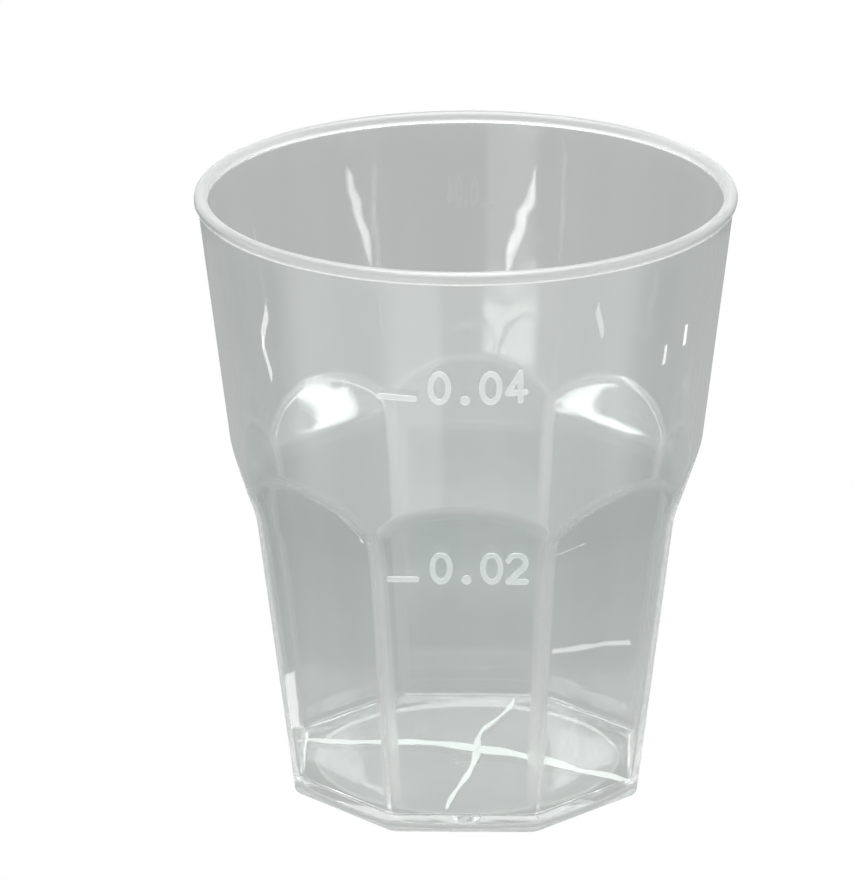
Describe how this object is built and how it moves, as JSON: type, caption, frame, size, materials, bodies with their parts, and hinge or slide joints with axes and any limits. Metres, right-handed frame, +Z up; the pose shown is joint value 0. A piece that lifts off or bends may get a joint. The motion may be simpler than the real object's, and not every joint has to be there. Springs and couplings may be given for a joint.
{
  "type": "measuring cup",
  "caption": "Small clear plastic measuring cup with a round mouth, an eight-sided faceted lower body and two raised litre marks.",
  "frame": {"origin": "on the cup's axis, on the plane the cup stands on", "axes": "+Z up along the axis to the mouth; -Y out of the flat panel that carries the graduation marks; +X to the right of someone reading them"},
  "size_m": [0.0472, 0.0472, 0.0542],
  "materials": {
    "clear_plastic": "clear glossy injection-moulded polystyrene",
    "frosted_mark": "raised and frosted, whitish"
  },
  "bodies": {
    "root": {"cup_body": "clear_plastic", "graduation_line_20ml": "frosted_mark", "numerals_20ml": "frosted_mark", "graduation_line_40ml": "frosted_mark", "numerals_40ml": "frosted_mark"}
  },
  "joints": []
}
